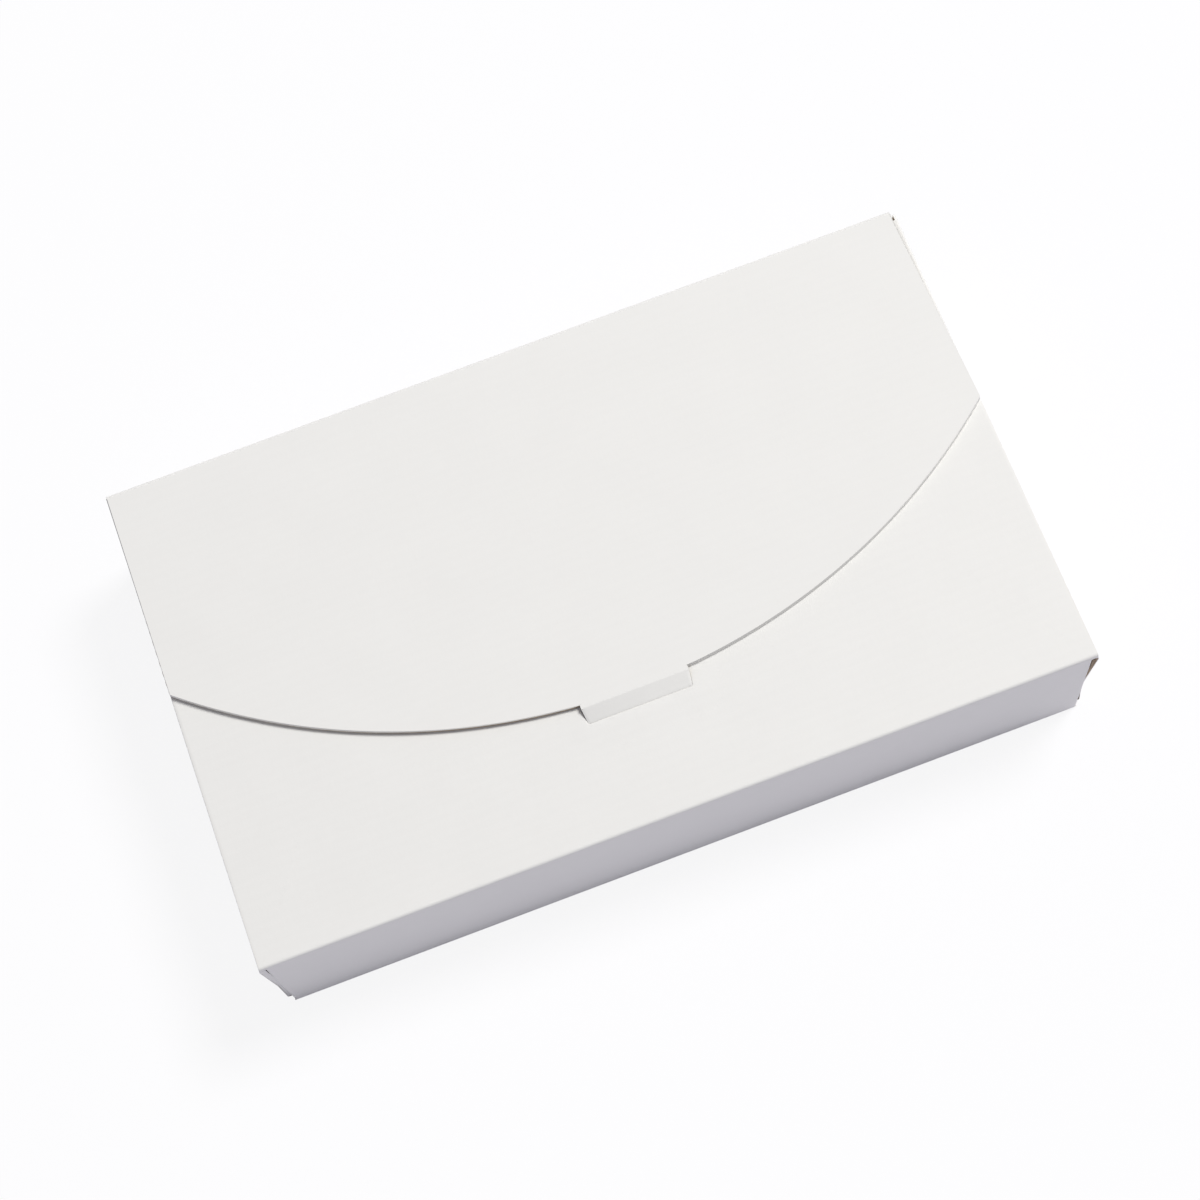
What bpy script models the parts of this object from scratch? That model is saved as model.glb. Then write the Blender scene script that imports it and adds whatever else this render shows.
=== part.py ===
"""Envelope box: a folding mailing box of white-faced corrugated board, closed like an envelope.

The front flap folds back over the contents, the lid flap folds forward over it, and a tuck tab on the
lid's curved edge drops into a slot in the front flap. The side walls are rolled over dust flaps and locked
into the floor. Every panel between two creases is a piece of its own, with its origin on its crease.

Units are metres and +Z is up. The origin is under the middle of the box, on the surface it stands on.
"""
import math

import bmesh
import bpy

# Overall size, over the outer faces
BOX_LENGTH = 0.250
BOX_DEPTH = 0.150
BOX_HEIGHT = 0.050

# Board and creases
BOARD = 0.0015
FOLD_GAP = 0.0003
CREASE_RADIUS = 0.0009
CREASE_SEGMENTS = 4
ROUND_PROFILE = 0.5
CORNER_SEGMENTS = 6
CUT_OVERRUN = 0.0020
WELD_DISTANCE = 0.00001
PICK_TOLERANCE = 0.00002

# Lid flap: the space it leaves in front of its edge's middle, and how far that middle stands out of the arc
LID_FRONT_SPACE = 0.0381
LID_ARC_RISE = 0.0463
LID_BACK_INSET = 0.0024
LID_FRONT_INSET = 0.0004
LID_CORNER_RADIUS = 0.0008
LID_ARC_STEPS = 24

# Tuck tab on the lid's curved edge: a sloping run, a bend and a drop, with a round nose at its crease
TAB_WIDTH = 0.0324
TAB_TIP_WIDTH = 0.0280
TAB_RUN = 0.0026
TAB_BEND_LENGTH = 0.0030
TAB_DEPTH = 0.0073
TAB_SLOPE = math.radians(22.0)
TAB_END_SLOPE = math.radians(95.0)
TAB_CORNER_RADIUS = 0.0030
TAB_BEND_STEPS = 8
TAB_NOSE_STEPS = 8
TAB_ROOT_RELIEF = 0.0006

# Front flap and its slot: the underlap is how far it reaches in behind the ends of the lid's arc
FLAP_UNDERLAP = 0.0106
FLAP_SIDE_INSET = 0.0004
FLAP_SHOULDER = 0.0008
FLAP_CORNER_RADIUS = 0.0100
SLOT_END_CLEARANCE = 0.0005
SLOT_FRONT_CLEARANCE = 0.00035
SLOT_REAR_REACH = 0.0006
SLOT_CORNER_RADIUS = 0.0008

# Outer side walls: up to this height their ends stay behind the front and back walls, then slope out flush
SIDE_END_RISE = 0.0160

# Dust flaps, with the space between the front and back one of a side
DUST_FLAP_SPACE = 0.0264
DUST_FLAP_TAPER = 0.0030
DUST_FLAP_CORNER_RADIUS = 0.0080

# Locking tabs of the rolled side walls
LOCK_TAB_WIDTH = 0.0260
LOCK_TAB_TAPER = 0.0010
LOCK_TAB_INSET = 0.0202
LOCK_TAB_RECESS = 0.0003
LOCK_SLOT_CLEARANCE = 0.0004
LOCK_CORNER_RADIUS = 0.0004

# Places that follow from the sizes above
HALF_LENGTH = BOX_LENGTH / 2
HALF_DEPTH = BOX_DEPTH / 2
HALF_BOARD = BOARD / 2
INNER_END = HALF_LENGTH - BOARD - FOLD_GAP
INNER_SIDE = HALF_DEPTH - BOARD - FOLD_GAP
FLOOR_TOP = BOARD + FOLD_GAP
LID_BOTTOM = BOX_HEIGHT - BOARD
FLAP_TOP = LID_BOTTOM - FOLD_GAP
FLAP_BOTTOM = FLAP_TOP - BOARD
RIM_TOP = FLAP_BOTTOM - FOLD_GAP
RIM_BOTTOM = RIM_TOP - BOARD
ROLL_TOP = RIM_BOTTOM - FOLD_GAP
DUST_FLAP_PLACE = INNER_END - HALF_BOARD
INNER_WALL_PLACE = DUST_FLAP_PLACE - BOARD - FOLD_GAP
ROLL_WIDTH = HALF_LENGTH - INNER_WALL_PLACE + HALF_BOARD
LID_CENTRE_LENGTH = BOX_DEPTH - LID_FRONT_SPACE
LID_SIDE_LENGTH = LID_CENTRE_LENGTH - LID_ARC_RISE
FLAP_LENGTH = BOX_DEPTH - LID_SIDE_LENGTH + FLAP_UNDERLAP
DUST_FLAP_LENGTH = INNER_SIDE - DUST_FLAP_SPACE / 2
LOCK_TAB_PLACE = INNER_SIDE - LOCK_TAB_INSET - LOCK_TAB_WIDTH / 2

# Colours, as linear RGB
WHITE_LINER = (0.83, 0.83, 0.81, 1.0)
KRAFT_LINER = (0.42, 0.34, 0.25, 1.0)
WHITE_ROUGHNESS = 0.62
KRAFT_ROUGHNESS = 0.85


def clear_scene():
    for item in list(bpy.data.objects):
        bpy.data.objects.remove(item, do_unlink=True)


def make_collection(name):
    collection = bpy.data.collections.new(name)
    bpy.context.scene.collection.children.link(collection)
    return collection


def make_material(name, colour, roughness):
    material = bpy.data.materials.new(name)
    material.use_nodes = True
    shader = material.node_tree.nodes["Principled BSDF"]
    shader.inputs["Base Color"].default_value = colour
    shader.inputs["Roughness"].default_value = roughness
    shader.inputs["Metallic"].default_value = 0.0
    return material


def rounded_outline(corners):
    """Turns corners, each a place and a radius, into a closed outline with an arc at every corner."""
    outline = []
    for index, (x, y, radius) in enumerate(corners):
        if radius == 0:
            outline.append((x, y))
            continue
        before = corners[index - 1]
        after = corners[(index + 1) % len(corners)]
        angle_in = math.atan2(before[1] - y, before[0] - x)
        angle_out = math.atan2(after[1] - y, after[0] - x)
        opening = (angle_out - angle_in + math.pi) % math.tau - math.pi
        reach = radius / math.sin(abs(opening) / 2)
        middle = angle_in + opening / 2
        centre_x = x + reach * math.cos(middle)
        centre_y = y + reach * math.sin(middle)
        sweep = math.pi - abs(opening)
        turn = -math.copysign(sweep, opening)
        first = middle + math.pi - turn / 2
        for step in range(CORNER_SEGMENTS + 1):
            angle = first + turn * step / CORNER_SEGMENTS
            outline.append((centre_x + radius * math.cos(angle), centre_y + radius * math.sin(angle)))
    return outline


def box_corners(left, right, bottom, top, radius):
    return [(left, bottom, radius), (right, bottom, radius), (right, top, radius), (left, top, radius)]


def add_spline(curve, outline):
    spline = curve.splines.new("POLY")
    spline.points.add(len(outline) - 1)
    for point, (x, y) in zip(spline.points, outline):
        point.co = (x, y, 0, 1)
    spline.use_cyclic_u = True


def near(value, target):
    return abs(value - target) < PICK_TOLERANCE


def round_crease(mesh_body, axis, value):
    """Rounds the printed face's edge that lies along the line where X (0) or Y (1) has the value."""
    edges = [
        edge for edge in mesh_body.edges
        if all(near(end.co[axis], value) and near(end.co.z, HALF_BOARD) for end in edge.verts)]
    bmesh.ops.bevel(
        mesh_body, geom=edges, offset=CREASE_RADIUS, offset_type="OFFSET", segments=CREASE_SEGMENTS,
        profile=ROUND_PROFILE, affect="EDGES", clamp_overlap=True)


def extrude_outline(name, loops, half_thickness):
    """Fills a flat outline, whose holes are the further loops, and thickens it both ways from its plane."""
    curve = bpy.data.curves.new(name + "_outline", "CURVE")
    curve.dimensions = "2D"
    curve.fill_mode = "BOTH"
    curve.extrude = half_thickness
    for loop in loops:
        add_spline(curve, loop)
    source = bpy.data.objects.new(name + "_outline", curve)
    bpy.context.scene.collection.objects.link(source)
    depsgraph = bpy.context.evaluated_depsgraph_get()
    mesh = bpy.data.meshes.new_from_object(source.evaluated_get(depsgraph))
    bpy.data.objects.remove(source, do_unlink=True)
    bpy.data.curves.remove(curve)
    body = bmesh.new()
    body.from_mesh(mesh)
    bmesh.ops.remove_doubles(body, verts=body.verts, dist=WELD_DISTANCE)
    bmesh.ops.recalc_face_normals(body, faces=body.faces)
    body.to_mesh(mesh)
    body.free()
    mesh.name = name
    return mesh


def cut_board(name, outline, holes=(), creases=()):
    """Cuts a flat panel of board: X and Y are its plane and its printed face is at +Z.

    Each crease is an edge that the board is folded over: 0 for X or 1 for Y, and the edge's place there.
    """
    mesh = extrude_outline(name, (outline, *holes), HALF_BOARD)
    body = bmesh.new()
    body.from_mesh(mesh)
    for axis, value in creases:
        round_crease(body, axis, value)
    body.to_mesh(mesh)
    body.free()
    return mesh


def place(collection, name, mesh, material, location, rotation=(0, 0, 0), parent=None):
    item = bpy.data.objects.new(name, mesh)
    mesh.materials.clear()
    mesh.materials.append(material)
    item.location = location
    item.rotation_euler = rotation
    item.parent = parent
    collection.objects.link(item)
    return item


def make_bottom_panel(collection, material):
    """The floor, with the slots that the side walls lock into beside its end creases."""
    corners = box_corners(-INNER_END, INNER_END, -INNER_SIDE, INNER_SIDE, 0)
    half_slot = HALF_BOARD + FOLD_GAP
    half_width = LOCK_TAB_WIDTH / 2 + LOCK_SLOT_CLEARANCE
    slots = []
    for side in (-1, 1):
        for middle in (-LOCK_TAB_PLACE, LOCK_TAB_PLACE):
            centre = side * INNER_WALL_PLACE
            slots.append(rounded_outline(box_corners(
                centre - half_slot, centre + half_slot, middle - half_width, middle + half_width,
                LOCK_CORNER_RADIUS)))
    mesh = cut_board("bottom_panel", rounded_outline(corners), slots)
    place(collection, "bottom_panel", mesh, material, (0, 0, HALF_BOARD))


def make_cross_wall(collection, name, side, height, material):
    """The front or back wall, which stands between the outer side walls and carries a flap."""
    corners = box_corners(-INNER_END, INNER_END, 0, height, 0)
    creases = ((0, -INNER_END), (0, INNER_END), (1, 0))
    mesh = cut_board(name, rounded_outline(corners), (), creases)
    turn = 0 if side < 0 else math.pi
    place(collection, name, mesh, material, (0, side * (HALF_DEPTH - HALF_BOARD), 0), (math.pi / 2, 0, turn))


def make_dust_flap(collection, name, end, side, material):
    """A flap folded in from the end of a cross wall and held inside the rolled side wall."""
    reach = end * side * DUST_FLAP_LENGTH
    corners = [
        (0, 0, 0),
        (-reach, DUST_FLAP_TAPER, DUST_FLAP_CORNER_RADIUS),
        (-reach, ROLL_TOP - FLOOR_TOP - DUST_FLAP_TAPER, DUST_FLAP_CORNER_RADIUS),
        (0, ROLL_TOP - FLOOR_TOP, 0)]
    mesh = cut_board(name, rounded_outline(corners))
    place(
        collection, name, mesh, material,
        (end * DUST_FLAP_PLACE, side * INNER_SIDE, FLOOR_TOP), (math.pi / 2, 0, end * math.pi / 2))


def make_rolled_side(collection, prefix, end, material):
    """One end of the box: an outer wall, the narrow rim over its top, and an inner wall with lock tabs."""
    turn = (math.pi / 2, 0, end * math.pi / 2)
    corners = [
        (-INNER_SIDE, 0, 0),
        (INNER_SIDE, 0, 0),
        (INNER_SIDE, SIDE_END_RISE, 0),
        (HALF_DEPTH, ROLL_TOP, 0),
        (-HALF_DEPTH, ROLL_TOP, 0),
        (-INNER_SIDE, SIDE_END_RISE, 0)]
    mesh = cut_board(prefix + "_outer_wall", rounded_outline(corners), (), ((1, 0),))
    place(collection, prefix + "_outer_wall", mesh, material, (end * (HALF_LENGTH - HALF_BOARD), 0, 0), turn)

    corners = box_corners(-ROLL_WIDTH / 2, ROLL_WIDTH / 2, -INNER_SIDE, INNER_SIDE, 0)
    creases = ((0, -ROLL_WIDTH / 2), (0, ROLL_WIDTH / 2))
    mesh = cut_board(prefix + "_rim", rounded_outline(corners), (), creases)
    place(
        collection, prefix + "_rim", mesh, material,
        (end * (HALF_LENGTH - ROLL_WIDTH / 2), 0, RIM_TOP - HALF_BOARD))

    drop = ROLL_TOP - FLOOR_TOP
    tab_drop = ROLL_TOP - LOCK_TAB_RECESS
    root = LOCK_TAB_WIDTH / 2
    tip = root - LOCK_TAB_TAPER
    corners = [(-INNER_SIDE, 0, 0), (-INNER_SIDE, -drop, 0)]
    for middle in (-LOCK_TAB_PLACE, LOCK_TAB_PLACE):
        corners += [
            (middle - root, -drop, 0),
            (middle - tip, -tab_drop, LOCK_CORNER_RADIUS),
            (middle + tip, -tab_drop, LOCK_CORNER_RADIUS),
            (middle + root, -drop, 0)]
    corners += [(INNER_SIDE, -drop, 0), (INNER_SIDE, 0, 0)]
    mesh = cut_board(prefix + "_inner_wall", rounded_outline(corners))
    place(
        collection, prefix + "_inner_wall", mesh, material, (end * INNER_WALL_PLACE, 0, ROLL_TOP),
        (math.pi / 2, 0, -end * math.pi / 2))


def lid_arc_radius():
    """Radius of the lid's curved edge, from the half chord and how far its middle stands out."""
    half_chord = HALF_LENGTH - LID_FRONT_INSET
    return (half_chord ** 2 + LID_ARC_RISE ** 2) / (2 * LID_ARC_RISE)


def lid_edge(x):
    """How far in front of the lid's crease its curved edge is, x away from the middle."""
    radius = lid_arc_radius()
    return LID_CENTRE_LENGTH - radius + math.sqrt(radius ** 2 - x ** 2)


def tab_root():
    """Distance from the lid's crease to the straight edge that the tuck tab is creased along."""
    return lid_edge(TAB_WIDTH / 2 + TAB_ROOT_RELIEF)


def make_lid_flap(collection, material, hinge):
    """The lid: narrow at its crease, wider towards the front, with a long arc broken by the tab's root."""
    half_back = HALF_LENGTH - LID_BACK_INSET
    half_front = HALF_LENGTH - LID_FRONT_INSET
    half_root = TAB_WIDTH / 2 + TAB_ROOT_RELIEF
    right = []
    for step in range(LID_ARC_STEPS + 1):
        x = half_root + (half_front - half_root) * step / LID_ARC_STEPS
        right.append((x, -lid_edge(x), LID_CORNER_RADIUS if step == LID_ARC_STEPS else 0))
    left = [(-x, y, radius) for x, y, radius in reversed(right)]
    corners = [(-half_back, 0, 0), *left, *right, (half_back, 0, 0)]
    mesh = cut_board("lid_flap", rounded_outline(corners), (), ((1, 0),))
    return place(collection, "lid_flap", mesh, material, (0, 0, -HALF_BOARD), (0, 0, 0), hinge)


def tab_centre_line():
    """Points down the tab's middle from its crease, each forward, down and slope: a run, then a bend."""
    run_forward = TAB_RUN * math.cos(TAB_SLOPE)
    run_down = TAB_RUN * math.sin(TAB_SLOPE)
    bend_radius = TAB_BEND_LENGTH / (TAB_END_SLOPE - TAB_SLOPE)
    points = [(0, 0, TAB_SLOPE)]
    for step in range(TAB_BEND_STEPS + 1):
        slope = TAB_SLOPE + (TAB_END_SLOPE - TAB_SLOPE) * step / TAB_BEND_STEPS
        forward = run_forward + bend_radius * (math.sin(slope) - math.sin(TAB_SLOPE))
        down = run_down + bend_radius * (math.cos(TAB_SLOPE) - math.cos(slope))
        points.append((forward, down, slope))
    return points


def tab_reach():
    """How far in front of its crease the tab's outer face stands at its foremost."""
    return max(forward + HALF_BOARD * math.sin(slope) for forward, _, slope in tab_centre_line())


def tab_profile():
    """Outline of the bent tab seen from its end, backward and up, with the drop longer than it is cut."""
    line = tab_centre_line()
    forward, down, slope = line[-1]
    drop = (TAB_DEPTH + CUT_OVERRUN - down) / math.sin(slope)
    line.append((forward + drop * math.cos(slope), down + drop * math.sin(slope), slope))
    outer = [(-f - HALF_BOARD * math.sin(a), -d + HALF_BOARD * math.cos(a)) for f, d, a in line]
    inner = [(-f + HALF_BOARD * math.sin(a), -d - HALF_BOARD * math.cos(a)) for f, d, a in line]
    nose = []
    for step in range(1, TAB_NOSE_STEPS):
        angle = math.pi / 2 + TAB_SLOPE - math.pi * step / TAB_NOSE_STEPS
        nose.append((HALF_BOARD * math.cos(angle), HALF_BOARD * math.sin(angle)))
    return [*reversed(outer), *nose, *inner]


def make_lid_tab(collection, cutters, material, hinge):
    """The tuck tab: a bent tongue of board, trimmed to a taper with round corners at its tip."""
    mesh = extrude_outline("lid_tab", (tab_profile(),), TAB_WIDTH / 2 + CUT_OVERRUN)
    tab = place(collection, "lid_tab", mesh, material, (0, 0, 0), (math.pi / 2, 0, math.pi / 2), hinge)
    corners = [
        (-TAB_WIDTH / 2, CUT_OVERRUN, 0),
        (-TAB_WIDTH / 2, 0, 0),
        (-TAB_TIP_WIDTH / 2, -TAB_DEPTH, TAB_CORNER_RADIUS),
        (TAB_TIP_WIDTH / 2, -TAB_DEPTH, TAB_CORNER_RADIUS),
        (TAB_WIDTH / 2, 0, 0),
        (TAB_WIDTH / 2, CUT_OVERRUN, 0)]
    reach = tab_reach() + CUT_OVERRUN
    trim = extrude_outline("lid_tab_trim", (rounded_outline(corners),), reach)
    cutter = place(cutters, "lid_tab_trim", trim, material, (0, 0, 0), (math.pi / 2, 0, 0), hinge)
    cutter.hide_render = True
    cutter.display_type = "WIRE"
    trimmed = tab.modifiers.new("trim", "BOOLEAN")
    trimmed.operation = "INTERSECT"
    trimmed.object = cutter


def make_front_flap(collection, material, hinge):
    """The flap under the lid, with the slot that the tuck tab drops into."""
    half_crease = INNER_END
    half_wide = HALF_LENGTH - FLAP_SIDE_INSET
    corners = [
        (-half_crease, 0, 0),
        (half_crease, 0, 0),
        (half_wide, FLAP_SHOULDER, 0),
        (half_wide, FLAP_LENGTH, FLAP_CORNER_RADIUS),
        (-half_wide, FLAP_LENGTH, FLAP_CORNER_RADIUS),
        (-half_wide, FLAP_SHOULDER, 0)]
    crease_of_tab = BOX_DEPTH - tab_root() - FOLD_GAP - HALF_BOARD
    half_slot = TAB_WIDTH / 2 + SLOT_END_CLEARANCE
    slot = box_corners(
        -half_slot, half_slot, crease_of_tab - tab_reach() - SLOT_FRONT_CLEARANCE,
        crease_of_tab + SLOT_REAR_REACH, SLOT_CORNER_RADIUS)
    mesh = cut_board(
        "front_flap", rounded_outline(corners), (rounded_outline(slot),), ((1, 0),))
    place(collection, "front_flap", mesh, material, (0, 0, -HALF_BOARD), (0, 0, 0), hinge)


def make_hinge(collection, name, location, parent=None):
    hinge = bpy.data.objects.new(name, None)
    hinge.location = location
    hinge.parent = parent
    collection.objects.link(hinge)
    return hinge


def build():
    clear_scene()
    collection = make_collection("envelope_box")
    cutters = make_collection("cutters")
    white = make_material("white_board", WHITE_LINER, WHITE_ROUGHNESS)
    kraft = make_material("kraft_board", KRAFT_LINER, KRAFT_ROUGHNESS)

    make_bottom_panel(collection, kraft)
    make_cross_wall(collection, "front_wall", -1, RIM_TOP, white)
    make_cross_wall(collection, "back_wall", 1, FLAP_TOP, white)
    for prefix, end in (("left", -1), ("right", 1)):
        make_rolled_side(collection, prefix, end, white)
        make_dust_flap(collection, "front_" + prefix + "_dust_flap", end, -1, kraft)
        make_dust_flap(collection, "back_" + prefix + "_dust_flap", end, 1, kraft)

    lid_hinge = make_hinge(collection, "lid_hinge", (0, HALF_DEPTH, BOX_HEIGHT))
    tab_place = (0, -tab_root() - FOLD_GAP - HALF_BOARD, -HALF_BOARD)
    tab_hinge = make_hinge(collection, "tab_hinge", tab_place, lid_hinge)
    flap_hinge = make_hinge(collection, "front_flap_hinge", (0, -HALF_DEPTH, FLAP_TOP))
    make_lid_flap(collection, white, lid_hinge)
    make_lid_tab(collection, cutters, white, tab_hinge)
    make_front_flap(collection, white, flap_hinge)


build()
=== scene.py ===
"""Envelope box, dressed: every panel of the closed mailing box as three papers, a white printed liner, a
fluted middle and a brown inner liner, with the printed liner carried round every crease.

Units are metres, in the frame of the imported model: +Z up, the box standing on Z = 0, its lid creased at +Y.
"""
import math

import bmesh
import bpy
from mathutils import Euler, Matrix, Vector


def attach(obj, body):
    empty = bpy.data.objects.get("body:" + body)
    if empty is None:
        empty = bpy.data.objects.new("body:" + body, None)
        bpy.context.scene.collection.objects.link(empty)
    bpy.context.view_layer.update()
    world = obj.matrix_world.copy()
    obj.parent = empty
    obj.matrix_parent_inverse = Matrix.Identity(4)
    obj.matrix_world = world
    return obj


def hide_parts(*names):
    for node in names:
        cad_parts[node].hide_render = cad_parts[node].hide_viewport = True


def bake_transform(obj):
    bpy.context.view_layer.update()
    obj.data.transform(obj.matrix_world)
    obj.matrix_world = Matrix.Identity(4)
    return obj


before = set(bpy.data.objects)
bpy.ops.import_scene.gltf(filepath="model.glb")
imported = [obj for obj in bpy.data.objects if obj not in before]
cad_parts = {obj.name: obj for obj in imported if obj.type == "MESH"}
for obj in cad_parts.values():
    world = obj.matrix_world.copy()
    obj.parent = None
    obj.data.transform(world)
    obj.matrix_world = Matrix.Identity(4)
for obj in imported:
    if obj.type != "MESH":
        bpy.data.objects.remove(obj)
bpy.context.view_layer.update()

# Sizes of the box, as in its source
BOX_LENGTH = 0.250
BOX_DEPTH = 0.150
BOX_HEIGHT = 0.050
BOARD = 0.0015
FOLD_GAP = 0.0003
CREASE_RADIUS = 0.0009
CORNER_SEGMENTS = 6
CREASE_STEPS = 8
QUARTER_TURN = [
    (math.sin(math.pi / 2 * step / CREASE_STEPS), math.cos(math.pi / 2 * step / CREASE_STEPS))
    for step in range(CREASE_STEPS + 1)]
LID_FRONT_SPACE = 0.0381
LID_ARC_RISE = 0.0463
LID_BACK_INSET = 0.0024
LID_FRONT_INSET = 0.0004
LID_CORNER_RADIUS = 0.0008
LID_ARC_STEPS = 48
TAB_WIDTH = 0.0324
TAB_TIP_WIDTH = 0.0280
TAB_DEPTH = 0.0073
TAB_SLOPE = math.radians(22.0)
TAB_END_SLOPE = math.radians(95.0)
TAB_CORNER_RADIUS = 0.0030
TAB_ROOT_RELIEF = 0.0006
FLAP_UNDERLAP = 0.0106
FLAP_SIDE_INSET = 0.0004
FLAP_CORNER_RADIUS = 0.0100
SLOT_REAR_REACH = 0.0006
SLOT_CORNER_RADIUS = 0.0008
SIDE_END_RISE = 0.0160
DUST_FLAP_SPACE = 0.0264
DUST_FLAP_TAPER = 0.0030
DUST_FLAP_CORNER_RADIUS = 0.0080
LOCK_TAB_WIDTH = 0.0260
LOCK_TAB_TAPER = 0.0010
LOCK_TAB_INSET = 0.0202
LOCK_TAB_RECESS = 0.0003
LOCK_SLOT_CLEARANCE = 0.0004
LOCK_CORNER_RADIUS = 0.0004

HALF_LENGTH = BOX_LENGTH / 2
HALF_DEPTH = BOX_DEPTH / 2
HALF_BOARD = BOARD / 2
INNER_END = HALF_LENGTH - BOARD - FOLD_GAP
INNER_SIDE = HALF_DEPTH - BOARD - FOLD_GAP
FLOOR_TOP = BOARD + FOLD_GAP
LID_BOTTOM = BOX_HEIGHT - BOARD
FLAP_TOP = LID_BOTTOM - FOLD_GAP
FLAP_BOTTOM = FLAP_TOP - BOARD
RIM_TOP = FLAP_BOTTOM - FOLD_GAP
RIM_BOTTOM = RIM_TOP - BOARD
ROLL_TOP = RIM_BOTTOM - FOLD_GAP
DUST_FLAP_PLACE = INNER_END - HALF_BOARD
INNER_WALL_PLACE = DUST_FLAP_PLACE - BOARD - FOLD_GAP
ROLL_WIDTH = HALF_LENGTH - INNER_WALL_PLACE + HALF_BOARD
LID_CENTRE_LENGTH = BOX_DEPTH - LID_FRONT_SPACE
LID_SIDE_LENGTH = LID_CENTRE_LENGTH - LID_ARC_RISE
FLAP_LENGTH = BOX_DEPTH - LID_SIDE_LENGTH + FLAP_UNDERLAP
DUST_FLAP_LENGTH = INNER_SIDE - DUST_FLAP_SPACE / 2
LOCK_TAB_PLACE = INNER_SIDE - LOCK_TAB_INSET - LOCK_TAB_WIDTH / 2
FLAP_UNDER_LID = BOX_HEIGHT - FLAP_TOP

# The three papers of the board
LINER = 0.00022
MEDIUM = 0.00014
FLUTE_PITCH = 0.0033
FLUTE_STEPS = 12
WAVE_HEIGHT = (BOARD - 2 * LINER - MEDIUM) / 2
PRINTED_WASHBOARD = 0.000008
INNER_WASHBOARD = 0.000020

# How the cutting knife presses the edges of the board
PRESS_DEPTH = 0.00020
PRESS_WIDTH = 0.0010
TIGHT_PRESS_WIDTH = 0.00022
PRESS_STEPS = 4
BACK_PRESS_DEPTH = 0.00008
HOLE_PRESS_WIDTH = 0.0004
HOLE_PRESS_DEPTH = 0.00010
TAB_PRESS_DEPTH = 0.00020
LID_SIDE_PRESS = 0.00015
LID_LEFT_FACE_PRESS = 0.00030
LID_LEFT_MORE_PRESS = 0.00070
LID_LEFT_PRESS_FROM = 0.050
LID_LEFT_BACK_PRESS = 0.00025
LID_RIGHT_FACE_PRESS = 0.00154
LID_CORE_INSET = 0.00024
WALL_END_PRESS = 0.00105
WALL_END_INSET = 0.00030
WALL_END_FADE = 0.0040
CUT_INSET = 0.00004
CUT_ALONG = 0.60

# The tab and its slot, where they are drawn closer to the photograph than the solids are
TAB_SEEN_RUN = 0.0040
TAB_SEEN_BEND = 0.0016
TAB_BEND_STEPS = 16
TAB_COLUMNS = (-1, -0.97, -0.94, 0.94, 0.97, 1)
SLOT_SEEN_GAP = 0.00008
SLOT_LIP_REACH = 0.0100
SLOT_LIP_LIFT = 0.00020
SLOT_LIP_RINGS = 6

# Tolerances of the mesh work
EDGE_NUDGE = 0.000002
SAME_PLACE = 0.00002
TAB_ROOT_STEP = 1.5 * SAME_PLACE
PARALLEL = 1e-9
LEVEL_NORMAL = 0.99999
SHARP_ANGLE = math.radians(40)

# Grain of the papers: scales and stretches of the noises, and their shares in the colour and the relief
PAPER_SPECULAR = 0.22
MOTTLE_SCALE = 60
FIBRE_SCALE = 1500
STRAND_SCALE, STRAND_STRETCH = 260, (1, 7, 7)
CROSSED_SCALE, CROSSED_STRETCH = 240, (6, 1, 6)
MOTTLE_SHARE = 0.40
FIBRE_SHARE = 0.20
STRAND_SHARE = 0.20
GRAIN_LOW, GRAIN_HIGH = 0.32, 0.68
FLECK_SCALE = 420
FLECK_SIZE = 0.16
FLECK_AREA_SCALE = 150
FLECK_AREA_LEVEL = 0.62
FLECK_SHADE = 0.6
RUB_POWER = 3
RUB_SHARE = 0.30
RUB_COLOUR = (0.70, 0.66, 0.60)
ROUGHNESS_SHARE = 0.20
ROUGHNESS_DROP = 0.06
RELIEF_STRENGTH = 0.25
RELIEF_HEIGHT = 0.00004
STRAND_RELIEF = 2

# Studio floor and light
FLOOR_REACH = 4
FLOOR_DROP = 0.0002
FLOOR_COLOUR = (0.88, 0.87, 0.95, 1)
FLOOR_ROUGHNESS = 0.9
FLOOR_WHITENESS = 0.88
STUDIO_COLOUR = (0.93, 0.92, 1.0, 1)
STUDIO_STRENGTH = 0.36
LAMP_PLACE = Vector((2.25, 0.95, 3.90))
LAMP_TARGET = Vector((0, 0, 0.03))
LAMP_SIZE = 1.6
LAMP_POWER = 172
LAMP_COLOUR = (1.0, 0.985, 0.95)
WHITE = (1, 1, 1, 1)

# Camera fitted to the photograph
AIM = Vector((-0.00007, -0.00878, 0.050))
AZIMUTH = math.radians(-8.54)
ELEVATION = math.radians(70.42)
ROLL = math.radians(-12.27)
DISTANCE = 0.7263
LENS = 76.35
SENSOR = 36.0
CLIP_START, CLIP_END = 0.05, 20


def rounded_outline(corners):
    """Turns corners, each a place and a radius, into a closed outline with an arc at every corner."""
    outline = []
    for index, (x, y, radius) in enumerate(corners):
        if radius == 0:
            outline.append((x, y))
            continue
        before = corners[index - 1]
        after = corners[(index + 1) % len(corners)]
        angle_in = math.atan2(before[1] - y, before[0] - x)
        angle_out = math.atan2(after[1] - y, after[0] - x)
        opening = (angle_out - angle_in + math.pi) % math.tau - math.pi
        reach = radius / math.sin(abs(opening) / 2)
        middle = angle_in + opening / 2
        centre_x = x + reach * math.cos(middle)
        centre_y = y + reach * math.sin(middle)
        sweep = math.pi - abs(opening)
        turn = -math.copysign(sweep, opening)
        first = middle + math.pi - turn / 2
        for step in range(CORNER_SEGMENTS + 1):
            angle = first + turn * step / CORNER_SEGMENTS
            outline.append((centre_x + radius * math.cos(angle), centre_y + radius * math.sin(angle)))
    return outline


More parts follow.
